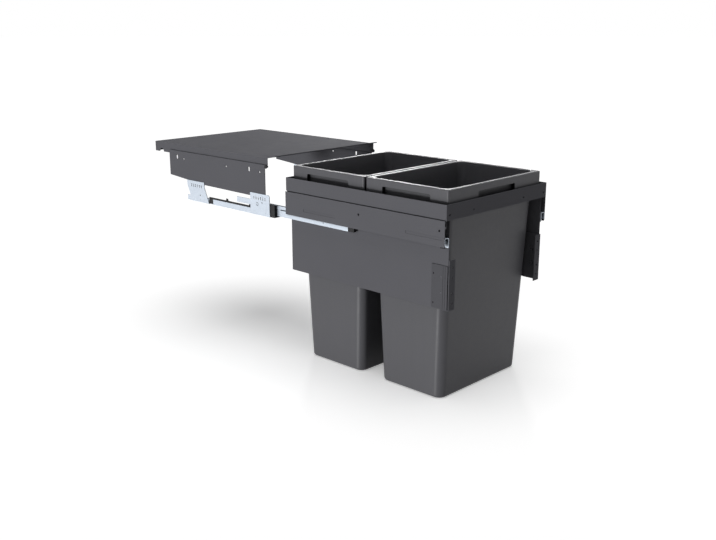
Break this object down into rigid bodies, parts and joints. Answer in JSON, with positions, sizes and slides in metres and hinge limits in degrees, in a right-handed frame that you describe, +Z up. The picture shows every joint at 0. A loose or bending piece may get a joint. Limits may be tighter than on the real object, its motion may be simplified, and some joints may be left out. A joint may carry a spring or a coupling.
{
  "type": "pull-out waste bin frame",
  "caption": "Full-extension pull-out frame that carries lift-out waste bins in a kitchen cabinet, with a fixed lid, side plates and ball runners.",
  "frame": {"origin": "on the ground under the middle of the pulled-out assembly, at the height of the bins' bottoms", "axes": "+Y the way the frame slides in, into the cabinet; +Z up; +X to the right seen from the front"},
  "size_m": [0.42, 1.102, 0.536],
  "materials": {
    "grey_steel": "powder coated, fine orange-peel, satin dark grey",
    "grey_plastic": "moulded polypropylene, fine grain, dark grey",
    "zinc_steel": "zinc plated, roll-formed",
    "bright_steel": "polished steel",
    "black_plastic": "moulded, black"
  },
  "bodies": {
    "cabinet_side": {"side_plate_left": "grey_steel", "side_plate_right": "grey_steel", "lid_studs": "black_plastic", "front_wall_bracket_left": "zinc_steel", "front_wall_bracket_right": "zinc_steel", "rear_wall_bracket_left": "zinc_steel", "rear_wall_bracket_right": "zinc_steel", "cabinet_rail_left": "zinc_steel", "cabinet_rail_right": "zinc_steel", "rail_rivets": "zinc_steel", "rail_front_cap_left": "black_plastic", "rail_front_cap_right": "black_plastic", "damper_housing_left": "black_plastic", "damper_housing_right": "black_plastic", "damper_cylinder_left": "bright_steel", "damper_cylinder_right": "bright_steel"},
    "lid": {"lid": "grey_steel"},
    "drawer": {"side_band_left": "grey_steel", "side_band_right": "grey_steel", "runner_cover_left": "grey_steel", "runner_cover_right": "grey_steel", "skirt_left": "grey_steel", "skirt_right": "grey_steel", "front_wing": "grey_steel", "rear_bar": "grey_steel", "door_bracket_left": "grey_steel", "door_bracket_right": "grey_steel", "clamp_plate_left": "grey_steel", "clamp_plate_right": "grey_steel", "bracket_screws": "grey_steel", "drawer_rail_left": "zinc_steel", "drawer_rail_right": "zinc_steel", "front_clip_left": "zinc_steel", "front_clip_right": "zinc_steel", "rail_striker_left": "zinc_steel", "rail_striker_right": "zinc_steel"},
    "bin_front": {"bin_front": "grey_plastic"},
    "bin_rear": {"bin_rear": "grey_plastic"},
    "middle_stage_left": {"middle_rail_left": "zinc_steel", "middle_end_cap_left": "black_plastic"},
    "lower_cage_left": {"lower_cage_left": "black_plastic", "lower_balls_left": "bright_steel"},
    "upper_cage_left": {"upper_cage_left": "black_plastic", "upper_balls_left": "bright_steel"},
    "catch_left": {"catch_left": "black_plastic", "damper_rod_left": "bright_steel", "closing_spring_left": "bright_steel"},
    "middle_stage_right": {"middle_rail_right": "zinc_steel", "middle_end_cap_right": "black_plastic"},
    "lower_cage_right": {"lower_cage_right": "black_plastic", "lower_balls_right": "bright_steel"},
    "upper_cage_right": {"upper_cage_right": "black_plastic", "upper_balls_right": "bright_steel"},
    "catch_right": {"catch_right": "black_plastic", "damper_rod_right": "bright_steel", "closing_spring_right": "bright_steel"}
  },
  "joints": [
    {"name": "drawer_slide", "type": "slide", "parent": "cabinet_side", "child": "drawer", "axis": [0, 1, 0], "range_m": [0, 0.566]},
    {"name": "bin_front_lift", "type": "slide", "parent": "drawer", "child": "bin_front", "axis": [0, 0, 1], "range_m": [0, 0.6]},
    {"name": "bin_rear_lift", "type": "slide", "parent": "drawer", "child": "bin_rear", "axis": [0, 0, 1], "range_m": [0, 0.6]},
    {"name": "lid_lift", "type": "slide", "parent": "cabinet_side", "child": "lid", "axis": [0, 0, 1], "range_m": [0, 0.04]},
    {"name": "middle_stage_left_slide", "type": "slide", "parent": "cabinet_side", "child": "middle_stage_left", "axis": [0, 1, 0], "range_m": [0, 0.283]},
    {"name": "lower_cage_left_slide", "type": "slide", "parent": "cabinet_side", "child": "lower_cage_left", "axis": [0, 1, 0], "range_m": [0, 0.1415]},
    {"name": "upper_cage_left_slide", "type": "slide", "parent": "cabinet_side", "child": "upper_cage_left", "axis": [0, 1, 0], "range_m": [0, 0.4245]},
    {"name": "catch_left_slide", "type": "slide", "parent": "cabinet_side", "child": "catch_left", "axis": [0, 1, 0], "range_m": [0, 0.035], "deforming": ["closing_spring_left"]},
    {"name": "middle_stage_right_slide", "type": "slide", "parent": "cabinet_side", "child": "middle_stage_right", "axis": [0, 1, 0], "range_m": [0, 0.283]},
    {"name": "lower_cage_right_slide", "type": "slide", "parent": "cabinet_side", "child": "lower_cage_right", "axis": [0, 1, 0], "range_m": [0, 0.1415]},
    {"name": "upper_cage_right_slide", "type": "slide", "parent": "cabinet_side", "child": "upper_cage_right", "axis": [0, 1, 0], "range_m": [0, 0.4245]},
    {"name": "catch_right_slide", "type": "slide", "parent": "cabinet_side", "child": "catch_right", "axis": [0, 1, 0], "range_m": [0, 0.035], "deforming": ["closing_spring_right"]}
  ],
  "couplings": [
    {"joint": "middle_stage_left_slide", "follows": "drawer_slide", "ratio": 0.5},
    {"joint": "lower_cage_left_slide", "follows": "drawer_slide", "ratio": 0.25},
    {"joint": "upper_cage_left_slide", "follows": "drawer_slide", "ratio": 0.75},
    {"joint": "catch_left_slide", "follows": "drawer_slide", "ratio": 0.0618},
    {"joint": "middle_stage_right_slide", "follows": "drawer_slide", "ratio": 0.5},
    {"joint": "lower_cage_right_slide", "follows": "drawer_slide", "ratio": 0.25},
    {"joint": "upper_cage_right_slide", "follows": "drawer_slide", "ratio": 0.75},
    {"joint": "catch_right_slide", "follows": "drawer_slide", "ratio": 0.0618}
  ]
}
